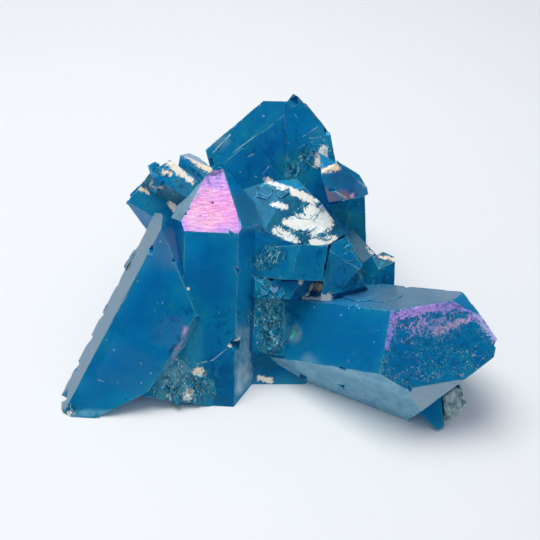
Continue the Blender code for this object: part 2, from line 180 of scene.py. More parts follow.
def facet_net(thing, step):
    """A net over a solid of flat faces: points, triangles, and for each triangle the normal of its flat face.

    Each edge is parted evenly. A face takes the points of a slanted grid of two parameters in its own plane,
    at u = i + j / 2 and v = j * 0.866 steps, that lie inside it, and Delaunay triangles join them to its rim.
    The last result says which points lie on an edge where two faces meet at a sharp outer angle.
    """
    mesh = thing.data
    corners = read(mesh.vertices, "co", 3)
    edges = read(mesh.edges, "vertices", 2)
    faces = read(mesh.polygons, "vertices", 3)
    face_normals = read(mesh.polygons, "normal", 3)
    face_edges = read(mesh.loops, "edge_index", 1).astype(int).reshape(-1, 3)
    lengths = np.linalg.norm(corners[edges[:, 0]] - corners[edges[:, 1]], axis=1)
    parts = np.maximum(1, np.round(lengths / step)).astype(int)
    points = [corners]
    total = len(corners)
    along = []
    for (a, b), n in zip(edges, parts):
        share = (np.arange(1, n) / n)[:, None]
        points.append(corners[a] * (1 - share) + corners[b] * share)
        along.append(np.arange(total, total + n - 1))
        total += n - 1

    both = np.full((len(edges), 2), -1)
    for side, row in enumerate(face_edges):
        for edge in row:
            both[edge, 0 if both[edge, 0] < 0 else 1] = side
    middles = corners[faces].mean(axis=1)
    first, second = both[:, 0], both[:, 1]
    bend = (face_normals[first] * face_normals[second]).sum(axis=1)
    outer = ((middles[second] - middles[first]) * face_normals[first]).sum(axis=1) < 0
    sharp = outer & (bend < math.cos(math.radians(SHARP_EDGE)))

    triangles = []
    ways = []
    for index, (ring, normal) in enumerate(zip(faces, face_normals)):
        rows = []
        for k in range(3):
            a, b = ring[k], ring[(k + 1) % 3]
            edge = face_edges[index, k]
            inner = along[edge] if edges[edge, 0] == a else along[edge][::-1]
            rows.append([a, *inner])
        rim = [point for row in rows for point in row]
        u_way = np.cross(normal, (1, 0, 0) if abs(normal[2]) > 0.9 else (0, 0, 1))
        u_way /= np.linalg.norm(u_way)
        v_way = np.cross(normal, u_way)
        flat = np.stack([corners[ring] @ u_way, corners[ring] @ v_way], axis=1) / step
        shares = [(np.arange(len(row)) / len(row))[:, None] for row in rows]
        rim_points = np.concatenate([flat[k] + (flat[(k + 1) % 3] - flat[k]) * shares[k] for k in range(3)])
        inside = np.empty((0, 2))
        if normal[2] > -0.99:
            low, high = np.floor(flat.min(axis=0)), np.ceil(flat.max(axis=0))
            j = np.arange(math.floor(low[1] / ROW), math.ceil(high[1] / ROW) + 1)
            i = np.arange(low[0] - 1, high[0] + 2)
            grid_i, grid_j = np.meshgrid(i, j)
            grid = np.stack([grid_i + (grid_j % 2) / 2, grid_j * ROW], axis=-1).reshape(-1, 2)
            clear = np.ones(len(grid), bool)
            for k in range(3):
                side = flat[(k + 1) % 3] - flat[k]
                inward = np.array((-side[1], side[0])) / max(np.linalg.norm(side), 1e-9)
                clear &= (grid - flat[k]) @ inward > RIM_GAP
            inside = grid[clear]
        spots = [Vector(spot) for spot in np.concatenate([rim_points, inside])]
        count = len(rim)
        ring_edges = [(k, (k + 1) % count) for k in range(count)]
        numbers = [*rim, *range(total, total + len(inside))]
        found, _, new, source, _, _ = delaunay_2d_cdt(spots, ring_edges, [], 1, 1e-7)
        if len(new) == 2 * len(inside) + count - 2 and len(found) == len(spots):
            triangles += [tuple(numbers[source[corner][0]] for corner in face) for face in new]
            made = len(new)
        else:
            longest = int(np.argmax([len(row) for row in rows]))
            after, before = (longest + 1) % 3, longest - 1
            one = [*rows[longest], ring[after]]
            two = [ring[longest], *rows[before][:0:-1], ring[before], *rows[after][:0:-1], ring[after]]
            strip = zipped(one, two)
            triangles += strip
            made = len(strip)
            inside = inside[:0]
        ways += [normal] * made
        points.append(inside @ np.stack([u_way, v_way]) * step + normal * (corners[ring[0]] @ normal))
        total += len(inside)
    on_edge = np.zeros(total, bool)
    on_edge[edges[sharp].ravel()] = True
    if sharp.any():
        on_edge[np.concatenate([along[edge] for edge in np.flatnonzero(sharp)])] = True
    return np.concatenate(points), np.array(triangles), np.array(ways), on_edge


quartz = merged_copy("quartz_cluster", "quartz")
points, triangles, ways, on_edge = facet_net(quartz, NET_STEP * MM)


def near(where, centre, radius):
    """1 in the inner half of a ball of the given radius, falling evenly to 0 at its rim. Millimetres."""
    return np.clip(2 - 2 * np.linalg.norm(where / MM - centre, axis=1) / radius, 0, 1)


def looking(facing, heading, rise, spread=5.0):
    """1 where a face looks within spread degrees of the given way, otherwise 0."""
    a, b = math.radians(heading), math.radians(rise)
    way = np.array([math.cos(b) * math.cos(a), math.cos(b) * math.sin(a), math.sin(b)])
    return (facing @ way > math.cos(math.radians(spread))).astype(float)


def corner_ways(count, triangles, ways):
    """For each of count points, the mean of the ways that the triangles round it look."""
    total = np.zeros((count, 3))
    for corner in range(3):
        np.add.at(total, triangles[:, corner], ways)
    return total / np.linalg.norm(total, axis=1)[:, None]


def lattice_value(cell, seed):
    """A fixed random value from -1 to 1 for each whole-numbered cell: its numbers are mixed bit by bit."""
    mixed = cell[:, 0] * 73856093 ^ cell[:, 1] * 19349663 ^ cell[:, 2] * 83492791 ^ seed * 2654435761
    mixed = (mixed ^ mixed >> 13) * 1274126177 & 0xFFFFFFFF
    mixed = (mixed ^ mixed >> 16) * 2246822519 & 0xFFFFFFFF
    return (mixed >> 8 & 0xFFFF) / 32767.5 - 1


def lumps(where, size, seed):
    """Smooth heights from -1 to 1: random values at the corners of cells of a size in millimetres, blended
    between the corners by 3t² - 2t³ along each axis."""
    place = where / (size * MM)
    cell = np.floor(place).astype(np.int64)
    t = place - cell
    t = t * t * (3 - 2 * t)
    total = np.zeros(len(where))
    for corner in np.ndindex(2, 2, 2):
        weight = np.prod(np.where(corner, t, 1 - t), axis=1)
        total += weight * lattice_value(cell + corner, seed)
    return total


def breaks(where, size, tilt, seed):
    """Heights in millimetres of a broken face: the points nearest to one jittered centre lie on one plane,
    with a slope of up to tilt, so that small flat faces meet at sharp edges."""
    place = where / (size * MM)
    cell = np.floor(place).astype(np.int64)
    nearest = np.full(len(where), np.inf)
    height = np.zeros(len(where))
    for step in np.ndindex(3, 3, 3):
        other = cell + step - 1
        jitter = np.stack([lattice_value(other, seed + k) for k in range(3)], axis=1) * 0.45 + 0.5
        slope = np.stack([lattice_value(other, seed + 3 + k) for k in range(3)], axis=1) * tilt
        away = place - other - jitter
        distance = (away ** 2).sum(axis=1)
        closer = distance < nearest
        nearest = np.where(closer, distance, nearest)
        height = np.where(closer, (away * slope).sum(axis=1) * size, height)
    return height


# The zones that broke off rough, as (centre, radius) in millimetres: in front, then at the back.
ROUGH_ZONES = (
    ((-0.4, -15.6, 14.4), 5.4), ((-0.4, -18.6, 9.4), 3.6), ((-17.2, -26.2, 3.6), 5.4),
    ((-21.6, -27.0, 3.6), 3.6), ((0.4, -9.8, 25.6), 2.8), ((7.6, 10.0, 35.6), 2.8),
    ((4.6, 8.6, 33.2), 2.4), ((-14.8, -24.0, 5.8), 2.2), ((-40.8, -30.0, 0.8), 2.2),
    ((-2.4, -10.0, 23.6), 2.4), ((18.4, -5.2, 16.4), 1.8), ((-13.2, -25.2, 3.0), 2.6),
    ((-18.6, -23.7, 7.4), 3.0), ((-20.4, -25.6, 5.2), 2.8),
    ((-7.6, 20.8, 6.0), 4.6), ((20.6, 4.4, 6.4), 4.0), ((-26.6, 3.4, 6.0), 4.0), ((15.8, 9.0, 16.0), 3.6),
)
rough_zone = np.max([near(points, centre, radius) for centre, radius in ROUGH_ZONES], axis=0)
rough_zone *= points[:, 2] > 0.2 * MM
normals = corner_ways(len(points), triangles, ways)

# Flat faces of quartz are never quite flat: low growth hills, and breaks, steps and chips where it broke.
# Heights and sizes are in millimetres.
HILL = 0.035
BREAK_SIZE, BREAK_TILT = 0.9, 0.16
STEP_HEIGHT = 0.06
EDGE_CHIP = 0.26
height = HILL * lumps(points, 4.5, 1) + 0.4 * HILL * lumps(points, 1.7, 2)
height += rough_zone * breaks(points, BREAK_SIZE, BREAK_TILT, 20)
ledge = near(points, (7.6, -1.4, 27.0), 7) * looking(normals, -78, 59, 20)
height += ledge * STEP_HEIGHT * np.round(1.6 * lumps(points, 2.4, 5))
chip = np.clip(lumps(points, 1.1, 8) * 1.6 + 0.1, 0, 1) * np.clip(lumps(points, 9.0, 9) + 0.55, 0.15, 1)
height -= on_edge * chip * EDGE_CHIP

# The dent on the flank of the lying point, with a low lip round it: a grain once grew there.
DENT = (4.6, -17.1, 10.3)
DENT_RADIUS, DENT_DEPTH = 1.1, 0.5
LIP_RADIUS, LIP_WIDTH, LIP_HEIGHT = 1.3, 0.35, 0.08
dent = np.linalg.norm((points / MM - DENT) * (1.0, 1.0, 0.6), axis=1)
height -= DENT_DEPTH * np.clip(1 - (dent / DENT_RADIUS) ** 2, 0, 1)
height += LIP_HEIGHT * np.exp(-((dent - LIP_RADIUS) / LIP_WIDTH) ** 2)
above_table = points[:, 2] > 0.05 * MM
points = points + normals * (height * above_table)[:, None] * MM
points[:, 2] = np.maximum(points[:, 2], 0)

low, high = (np.array(corner) for corner in cad_box)
points = np.clip(points, low, high)

# How far each point lies from a sharp edge, in millimetres, measured from point to point over the net.
REACH = 9.0
from_edge = np.where(on_edge, 0.0, REACH)
sides = np.concatenate([triangles[:, [0, 1]], triangles[:, [1, 2]], triangles[:, [2, 0]]])
lengths = np.linalg.norm(points[sides[:, 0]] - points[sides[:, 1]], axis=1) / MM
for _ in range(8):
    np.minimum.at(from_edge, sides[:, 0], from_edge[sides[:, 1]] + lengths)
    np.minimum.at(from_edge, sides[:, 1], from_edge[sides[:, 0]] + lengths)

body = bpy.data.meshes.new("quartz skin")
body.from_pydata(points, [], triangles.tolist())
quartz.data = body

# ---- The film, with painted reflections, highlights and light among its spots, as said at each.
# Each spot of colour is (screen colour, strength, centre, radius, way its face looks).
corners = triangles.ravel()
film_and_sheen = np.zeros((len(corners), 4))


def from_line(where, start, end):
    """The distance in millimetres from a line between two places, or from one place if they are the same."""
    start, along = np.array(start), np.array(end) - start
    share = np.clip(((where / MM - start) @ along) / max(along @ along, 1e-9), 0, 1)
    return np.linalg.norm(where / MM - start - share[:, None] * along, axis=1)


def tint(colour, strength, centre, radius, face=None, ragged=0.0, grain=1.3, end=None):
    """Lays a spot of colour over what is there, film or painted light, or a line of it up to an end. Where
    ragged is above 0, its rim follows random lumps of the size given as grain."""
    spread = np.clip(2 - 2 * from_line(points, centre, end or centre) / radius, 0, 1)
    reached = spread > 0
    if ragged:
        torn = spread[reached] + ragged * lumps(points[reached], grain, 31) - 0.35 * ragged
        spread[reached] = np.clip(torn, 0, 1)
    weight = spread[corners] * strength
    if face:
        weight = weight * np.repeat(looking(ways, *face), 3)
    hit = np.flatnonzero(weight > 0)
    share = weight[hit, None]
    under = film_and_sheen[hit, 3:]
    together = share + under * (1 - share)
    film_and_sheen[hit, :3] = (film_and_sheen[hit, :3] * under * (1 - share) + np.array(linear(*colour)) * share) / together
    film_and_sheen[hit, 3:] = together


VIOLET = (200, 146, 232)
PINK = (244, 154, 208)
ROSE = (250, 190, 204)
GREY = (124, 146, 160)
SLATE = (26, 58, 72)
DUSK = (148, 178, 192)
INDIGO = (40, 80, 130)
COPPER = (170, 112, 118)
PLUM = (92, 58, 112)
DEEP_TEAL = (2, 92, 112)
PALE_TEAL = (96, 186, 184)
SEA = (12, 138, 158)
GREEN_SEA = (16, 132, 136)
ICE = (150, 196, 210)
STEEL = (92, 124, 146)
ANYWHERE = 60

# The standing point: its front tip face is pink with violet edges, the film's colour with a painted
# reflection of the overhead light on it; its left faces are painted grey as a reflection of the pale room;
# its right side is painted paler, as light shining through it; it is darker low in front.
TIP_FACE = (-93, 68)
tint(VIOLET, 0.97, (-10, -2, 34), ANYWHERE, TIP_FACE)
tint(PINK, 0.95, (-11.6, -4.4, 33.4), 7.4, TIP_FACE, ragged=0.45, grain=1.5)
tint(ROSE, 0.7, (-13.8, -6.6, 32.2), 4.4, TIP_FACE, ragged=0.6)
tint(ROSE, 0.55, (-11.8, -1.0, 34.6), 1.8, TIP_FACE, ragged=0.6)
tint(VIOLET, 0.8, (-11.0, 1.8, 35.8), 3.4, TIP_FACE, ragged=0.4)
tint(PLUM, 0.95, (-13.0, 3.0, 36.2), 1.3, None, ragged=0.6, grain=0.6, end=(-10.4, 4.0, 36.8))
# Painted reflection: the left faces of the standing point painted grey, as they mirror the pale room.
tint(DUSK, 0.92, (-15, 0, 34), ANYWHERE, (179, 47))
tint((96, 108, 140), 0.5, (-17.6, -6.0, 30.6), 3.4, (179, 47), ragged=0.4)
tint((44, 104, 128), 0.75, (-5, -3, 32), 6.0, (-7, 47), ragged=0.3)
# Painted light: the shaded right side of the standing point painted paler, as if light shone through it.
tint((30, 166, 214), 0.6, (-5.4, -14.0, 19.0), 13, (-30, 14), ragged=0.25, grain=2.6)
tint(ICE, 0.85, (-5.6, -19.4, 9.4), 6.5, (-30, 14), ragged=0.5, grain=1.8)
tint((176, 206, 214), 0.9, (-5.2, -23.4, 3.4), 4.6, (-30, 14), ragged=0.5)
tint((0, 72, 124), 0.8, (-9.6, -25.4, 3.6), 8.5, (-94, 30), ragged=0.2, grain=3.0)
# The blade on the left: a grey strip along its outer edge, painted as a reflection of the pale room, a violet
# bloom high up, paler bands low down, and a painted cyan line of light from the table along its foot.
BLADE = (-94, 37)
tint(GREY, 0.97, (-30, -15, 15), ANYWHERE, (-172, 37))
tint(GREY, 0.9, (-38.6, -19.1, 7.1), 1.8, end=(-24.5, -2.1, 28.8))
tint((92, 112, 150), 0.62, (-20.4, -9.5, 28.0), 7.5, BLADE, ragged=0.5, grain=2.5)
tint((124, 122, 160), 0.6, (-19.4, -8.6, 27.2), 4.5, (-7, 31), ragged=0.3)
tint((44, 108, 150), 0.5, (-31.0, -22.8, 11.0), 3.2, BLADE, ragged=0.25, grain=2.0, end=(-22.5, -26.0, 7.4))
tint((50, 112, 150), 0.4, (-33.5, -25.2, 7.6), 2.6, BLADE, ragged=0.25, grain=2.0, end=(-26.0, -27.6, 4.6))
tint((70, 96, 156), 0.4, (-20.0, -20.6, 14.6), 4.6, BLADE, ragged=0.4, grain=1.6)
tint(SEA, 0.7, (-18, -20, 16), 9, (-7, 31))
tint((40, 140, 186), 0.35, (-36.0, -27.6, 4.2), 4.4, BLADE, ragged=0.4, grain=3.0, end=(-26.0, -27.4, 5.2))
# Painted light: a cyan line along the blade's foot, where light from the white table gathers.
tint((120, 190, 214), 0.75, (-40.6, -30.4, 0.5), 0.9, None, ragged=0.5, grain=0.8, end=(-27.0, -29.2, 1.2))
# A painted pink highlight along the ridge at the blade's right edge.
tint((222, 150, 206), 1.0, (-16.9, -20.6, 15.0), 0.9, None, ragged=0.6, grain=0.7, end=(-20.1, -23.6, 9.0))
tint((120, 182, 200), 0.75, (-16.6, -21.6, 12.6), 4.0, (-44, -4), ragged=0.4, end=(-20.4, -25.0, 5.6))
# The rough foot between the blade and the standing point, and the cracks above it.
FOOT = (-78, 34)
tint((128, 172, 184), 0.85, (-18.6, -25.6, 4.8), 6.6, FOOT, ragged=0.45, grain=1.1)
tint((44, 140, 168), 0.75, (-15.6, -23.0, 7.6), 2.2, None, ragged=0.25, end=(-15.6, -19.6, 14.4))
tint((130, 170, 180), 0.7, (-13.4, -26.4, 2.2), 2.4, (-94, 30), ragged=0.6, grain=0.9)
# The lying point: a grey back face, painted as a reflection of the pale room, a violet and pink bloom on the
# tip, and pale mottled faces below, where the face that looks down is painted as a reflection of the white
# table and a pale line along its lower edge is painted light.
BACK_FACE = (111, 66)
TIP = (-89, 46)
FLANK = (-142, 40)
BLOOM = (164, 134, 232)
tint((56, 146, 200), 0.7, (15.0, -12.0, 18.0), 12, BACK_FACE)
tint(STEEL, 0.94, (31, -16, 21.7), 17, BACK_FACE)
tint((132, 146, 174), 0.6, (38, -18, 23), 7, BACK_FACE, ragged=0.3, grain=3.0)
tint(BLOOM, 0.72, (22.4, -24.4, 22.2), 1.5, TIP, ragged=0.3, grain=0.8, end=(32.0, -22.8, 23.4))
tint(BLOOM, 0.74, (32.0, -22.8, 23.4), 1.8, TIP, ragged=0.3, grain=0.8, end=(36.0, -22.5, 23.7))
tint(BLOOM, 0.72, (36.0, -22.6, 23.6), 1.4, TIP, ragged=0.3, grain=0.8, end=(40.6, -24.9, 21.3))
tint(BLOOM, 0.58, (22.6, -24.4, 22.0), 1.6, TIP, ragged=0.4, end=(21.9, -28.4, 18.2))
tint((206, 162, 232), 0.36, (27.6, -24.6, 21.8), 6.0, TIP, ragged=0.5, grain=0.9)
tint((250, 190, 220), 0.55, (31.8, -26.4, 19.9), 0.9, TIP, ragged=0.5, grain=0.7, end=(38.0, -24.8, 21.6))
tint((180, 150, 226), 0.26, (34.0, -24.6, 21.8), 5.0, TIP, ragged=0.5, grain=0.8)
tint((10, 126, 160), 0.4, (33, -29.2, 17.0), 9, TIP, ragged=0.3, grain=2.5)
tint((188, 190, 246), 0.9, (39.6, -24.4, 21.9), 1.1, None, ragged=0.5, grain=0.6, end=(43.0, -27.6, 18.6))
tint((0, 100, 140), 0.55, (7.6, -17.0, 12.0), 9.0, FLANK, ragged=0.25, grain=2.6)
tint((0, 108, 158), 0.4, (15.0, -22.0, 16.0), 9.0, FLANK, ragged=0.25, grain=2.6)
# Painted reflection of the white table, on the face of the lying point that looks down.
tint(ICE, 0.88, (16, -26, 6), ANYWHERE, (-118, -16), ragged=0.3, grain=1.4)
# Painted light: a pale line along the lower edge of the lying point, as light from the table.
tint((116, 162, 184), 0.7, (8.0, -22.6, 7.6), 2.6, end=(29.0, -33.0, 8.0))
tint((168, 186, 196), 0.88, (32, -31, 12), ANYWHERE, (-83, 0))
tint((112, 150, 160), 0.8, DENT, 2.6, None, ragged=0.3)
tint(PALE_TEAL, 0.97, (4.6, -17.1, 10.2), 1.2, None, ragged=0.2, grain=0.7)
# The slab at the back: a paler border, a light line beside it, and sea green where it turned rough.
STRIP = (-101, 42)
BROAD = (-84, 25)
tint((10, 102, 142), 0.7, (-6, 12, 40), ANYWHERE, STRIP, ragged=0.3, grain=3.0)
tint((120, 168, 190), 0.6, (-10.6, 11.2, 38.6), 2.6, STRIP, ragged=0.6)
tint((0, 92, 170), 0.6, (-1.4, 9.8, 37.6), 7.5, BROAD, ragged=0.2)
tint(GREEN_SEA, 0.7, (5.0, 8.6, 33.4), 5.4, BROAD, ragged=0.5, grain=1.8)
tint(GREEN_SEA, 0.6, (4.0, 8.2, 32.4), 4.4, (-70, 22), ragged=0.5)
tint((60, 150, 178), 0.6, (9.8, 12.4, 38.4), 3.4, (-69, 32), ragged=0.5)
# The pale ledge, and the stubs and chips round it.
LEDGE = (-78, 59)
tint(SLATE, 0.94, (-1, 4, 30), ANYWHERE, (-110, 66), ragged=0.15)
tint((28, 86, 110), 0.94, (7, -1, 27.5), ANYWHERE, LEDGE, ragged=0.1)
tint((0, 122, 168), 0.9, (4.4, 6.9, 31.4), 2.0, LEDGE, ragged=0.3, end=(13.6, 4.4, 28.6))
tint((0, 122, 168), 0.95, (3.0, 7.4, 31.4), 1.9, (-93, 79), ragged=0.2, end=(9.0, 7.0, 31.0))
tint(INDIGO, 0.9, (15.0, 1.4, 35.4), 6.0, (-62, 38), ragged=0.3)
tint(COPPER, 0.9, (14.0, -1.2, 33.4), 2.6, (-62, 38), ragged=0.5)
tint(COPPER, 0.85, (12.2, -1.2, 33.8), 2.8, (-92, 11), ragged=0.4)
tint((62, 122, 168), 0.8, (18.6, 1.4, 33.8), 2.4, (-62, 38), ragged=0.3)
# Painted highlights: a pale line along the rim of the small point, a pink glint on it and cyan glints under
# it.
tint((196, 214, 220), 0.85, (13.8, 6.0, 37.4), 1.2, None, ragged=0.3, end=(19.4, 2.4, 34.4))
tint((240, 170, 214), 0.95, (16.4, -0.4, 33.1), 0.7, None, ragged=0.3, grain=0.5)
tint((40, 190, 214), 0.85, (13.6, 2.4, 27.2), 1.1, None, ragged=0.6, grain=0.6, end=(16.2, 2.0, 26.8))
tint((40, 146, 150), 0.75, (15.6, 2.0, 24.0), 6.0, (-118, 12), ragged=0.3)
tint((40, 146, 150), 0.75, (17.0, 1.4, 23.6), 5.5, (-82, 12), ragged=0.3)
tint((116, 152, 164), 0.92, (20.2, -1.6, 20.2), 6.4, (-70, 50))
tint((42, 54, 62), 0.96, (23.7, -6.2, 20.0), 7.0, (-114, 60))
tint((20, 120, 140), 0.6, (22.0, -7.6, 17.6), 4.0, None, ragged=0.4)
# The stubs behind: slate and sea green, with a painted highlight along a crest and a plum spot on one.
tint((58, 116, 132), 0.85, (-19.0, 1.6, 33.6), ANYWHERE, (-119, -10))
tint((56, 118, 140), 0.8, (-17.4, 1.6, 34.4), 3.8, (-95, 46), ragged=0.3)
tint((40, 142, 178), 0.5, (-25.0, 3.8, 31.0), 5.0, (-100, 40), ragged=0.5)
tint((62, 120, 136), 0.85, (-14.6, 5.2, 35.0), 4.0, (-67, 58), ragged=0.3)
tint((12, 104, 132), 0.7, (-17.4, 5.4, 34.6), 2.2, (-105, 28))
tint((128, 176, 188), 0.7, (-17.6, 5.2, 35.8), 0.5, None, end=(-14.6, 3.6, 33.8))
tint(PLUM, 0.8, (-18.0, 8.2, 37.0), 0.8, None, ragged=0.4, grain=0.5)
# The broken middle: sea green hollows and pale seams.
tint(DEEP_TEAL, 0.7, (-0.2, -9.6, 25.0), 4.4, (-123, 33), ragged=0.3)
tint((30, 136, 164), 0.6, (6.0, -10.6, 26.0), 4.4, (-123, 33), ragged=0.4)
tint((4, 130, 190), 0.6, (-3.4, -9.4, 24.0), 2.4, None, ragged=0.4)
tint(SEA, 0.5, (-1.0, -15.6, 14.0), 7.0, (-84, 34), ragged=0.4)
tint(SEA, 0.6, (-2.0, -13.4, 19.0), 3.4, (-90, 46), ragged=0.4)
tint((0, 74, 104), 0.85, (-1.4, -18.8, 4.6), 6.0, (-78, 18), ragged=0.3)
tint((0, 88, 118), 0.7, (-1.4, -19.6, 2.4), 4.0, (-90, 45), ragged=0.3)
tint((8, 128, 160), 0.55, (14.0, -12.6, 18.4), 3.0, (-104, 10), ragged=0.3)
tint((0, 94, 138), 0.5, (13.4, -12.6, 23.4), 6.0, (-104, 10), ragged=0.3)
tint((0, 98, 142), 0.5, (12.0, -10.6, 25.6), 7.0, (-75, 48), ragged=0.3)
# The sides and the back: violet and pink on the small points, grey and sea green where the film is thinner.
tint(BLOOM, 0.62, (-4.0, 18.6, 41.4), 9.0, (142, 36), ragged=0.8, grain=1.8)
tint(STEEL, 0.7, (-9.4, 20.6, 33.4), 9.0, (142, 36), ragged=0.35, grain=3.0)
tint((226, 160, 222), 0.6, (-4.4, 17.4, 42.6), 3.4, (142, 36), ragged=0.5, grain=1.6)
tint(VIOLET, 0.75, (9.0, 20.4, 38.4), 14.0, (30, 31), ragged=0.5, grain=1.6)
tint(PINK, 0.7, (7.8, 20.6, 41.6), 6.0, (30, 31), ragged=0.9, grain=1.0)
tint(DUSK, 0.7, (12.0, 22.6, 32.6), 5.0, (30, 31), ragged=0.4)
tint((40, 138, 178), 0.55, (15.4, 17.0, 31.0), 10.0, (4, 11), ragged=0.4, grain=3.4)
tint(STEEL, 0.6, (14.6, 12.0, 18.0), 7.0, (4, 11), ragged=0.5, grain=2.4)
tint(GREEN_SEA, 0.6, (-1.0, 24.6, 24.0), 11.0, (96, -25), ragged=0.45, grain=3.0)
tint((130, 128, 188), 0.5, (-2.6, 22.0, 32.0), 7.0, (96, -25), ragged=0.5, grain=2.0)
tint(STEEL, 0.55, (-24.6, -10.6, 11.6), 12.0, (86, -37), ragged=0.4, grain=3.4)
tint(GREY, 0.85, (-33.0, -13.0, 11.0), ANYWHERE, (129, -13), ragged=0.2, grain=2.0)
tint(DUSK, 0.75, (-16.8, 10.7, 28.9), 9.0, (46, 34), ragged=0.4, grain=2.0)
tint(GREY, 0.8, (-11.8, 16.4, 27.4), ANYWHERE, (-176, -14), ragged=0.2)
tint(VIOLET, 0.7, (-25.6, 10.4, 29.0), 6.0, (148, 33), ragged=0.5, grain=1.8)
tint(STEEL, 0.7, (-27.4, 12.4, 25.0), 6.0, (148, 33), ragged=0.4, grain=2.0)
tint((70, 150, 176), 0.6, (-26.0, 5.0, 8.0), 10.0, (165, 30), ragged=0.5, grain=2.6)
tint(GREEN_SEA, 0.55, (-7.3, 19.8, 9.7), 10.0, (70, 25), ragged=0.5, grain=2.4)
tint(STEEL, 0.8, (31.0, -12.6, 16.0), 16.0, (62, 16), ragged=0.35, grain=3.0)
tint(BLOOM, 0.6, (30.4, -10.4, 19.4), 2.6, (62, 16), ragged=0.7, grain=1.0, end=(37.6, -15.0, 18.0))
tint(ICE, 0.75, (32.2, -16.7, 5.2), ANYWHERE, (38, -40), ragged=0.3, grain=1.4)
tint((176, 150, 214), 0.7, (40.6, -21.8, 20.4), 5.0, (22, 25), ragged=0.4)
tint((70, 150, 176), 0.6, (21.3, 2.0, 7.3), 9.0, (5, 35), ragged=0.5, grain=2.2)
tint(VIOLET, 0.85, (20.0, 12.5, 2.9), 9.0, (42, 30), ragged=0.35)
tint(PINK, 0.75, (20.6, 13.0, 3.6), 4.0, (42, 30), ragged=0.5)
tint(ICE, 0.8, (17.0, 12.6, 12.8), ANYWHERE, (60, 62), ragged=0.2)
tint(PINK, 0.85, (-7.7, 21.1, 14.1), ANYWHERE, (-143, 73), ragged=0.3)
tint(VIOLET, 0.85, (-19.3, 21.5, 17.6), ANYWHERE, (75, 39), ragged=0.25)
tint(PINK, 0.7, (-19.0, 22.0, 18.6), 3.4, (75, 39), ragged=0.5)
tint(STEEL, 0.85, (-19.7, 15.0, 19.8), ANYWHERE, (-79, 72), ragged=0.2)
tint(INDIGO, 0.8, (6.8, 28.6, 26.8), ANYWHERE, (49, 75), ragged=0.3)
tint(VIOLET, 0.75, (11.8, 28.2, 23.9), 9.0, (32, 30), ragged=0.5)
tint(GREY, 0.8, (-26.0, 17.4, 17.0), ANYWHERE, (-177, 27), ragged=0.2)
tint(DUSK, 0.75, (14.8, 6.0, 34.9), ANYWHERE, (42, 38), ragged=0.3)
tint((150, 128, 200), 0.6, (11.1, 3.0, 27.1), 7.0, (31, 28), ragged=0.4)
tint(SEA, 0.6, (18.6, 10.8, 9.0), 9.0, (20, -8), ragged=0.4, grain=2.2)
tint(STEEL, 0.7, (-20.5, -8.1, 6.6), 8.0, (-140, 25), ragged=0.4, grain=2.0)

# ---- Painted reflections of the overhead light in smooth broken steps: white, or gilt where the film is thinner.
glint_mark = np.zeros(len(points))
glint_gold = np.zeros(len(points))


def painted_glint(centre, radius, gold=0.0, end=None):
    """Lays a painted glint, a reflection of the light from white to gold, round a place or along a line. Its
    mark falls evenly from 1 in the middle to 0 at 1.7 radii, so that the noise of the coat has room to tear
    its rim."""
    spread = np.clip(1 - from_line(points, centre, end or centre) / (1.7 * radius), 0, 1)
    glint_gold[:] = np.where(spread > glint_mark, gold, glint_gold)
    glint_mark[:] = np.maximum(glint_mark, spread)


# On the ledge.
painted_glint((-1.0, 7.0, 31.8), 0.8, 0.25, end=(1.7, 5.9, 31.1))
painted_glint((1.7, 5.7, 31.1), 1.1, 0.15, end=(9.6, 2.7, 29.2))
painted_glint((0.4, 1.8, 29.6), 0.8, 0.1, end=(2.8, 1.2, 29.2))
painted_glint((5.2, -1.6, 27.2), 2.0, end=(11.2, -0.9, 26.8))
painted_glint((8.0, 0.7, 28.2), 1.8, end=(10.6, 0.6, 27.8))
painted_glint((8.6, -2.6, 26.0), 1.6, end=(10.8, -1.8, 26.3))
painted_glint((3.0, -1.8, 27.4), 1.1, end=(5.4, -1.4, 27.2))
painted_glint((1.0, -3.6, 26.6), 1.2, 0.1, end=(4.6, -5.2, 25.1))
painted_glint((8.4, -5.2, 24.6), 1.0, 0.1, end=(12.8, -4.0, 25.0))
# On the slab at the back, and on the stub before it.
painted_glint((10.8, 11.0, 36.4), 1.5, end=(10.2, 9.8, 34.6))
painted_glint((9.8, 1.3, 38.1), 0.9, 0.8, end=(13.2, 2.4, 38.3))
# Along the crests of the stubs on the left.
painted_glint((-20.9, 5.3, 37.4), 1.0, 0.3, end=(-18.8, 3.7, 36.2))
painted_glint((-22.0, 3.9, 36.0), 0.8, 0.6, end=(-20.8, 3.6, 35.8))
painted_glint((-18.8, 3.7, 36.1), 0.75, 0.2, end=(-16.4, 2.4, 34.8))
painted_glint((-24.6, 3.7, 33.4), 0.8, 0.5, end=(-22.8, 2.9, 33.1))
painted_glint((-27.6, 5.0, 31.2), 0.6, 0.7, end=(-26.0, 4.4, 30.8))
painted_glint((-21.1, 2.4, 29.3), 0.8, 0.3, end=(-20.1, 1.5, 28.5))
painted_glint((-17.4, 7.8, 37.4), 1.0, 0.75, end=(-12.9, 5.6, 35.6))
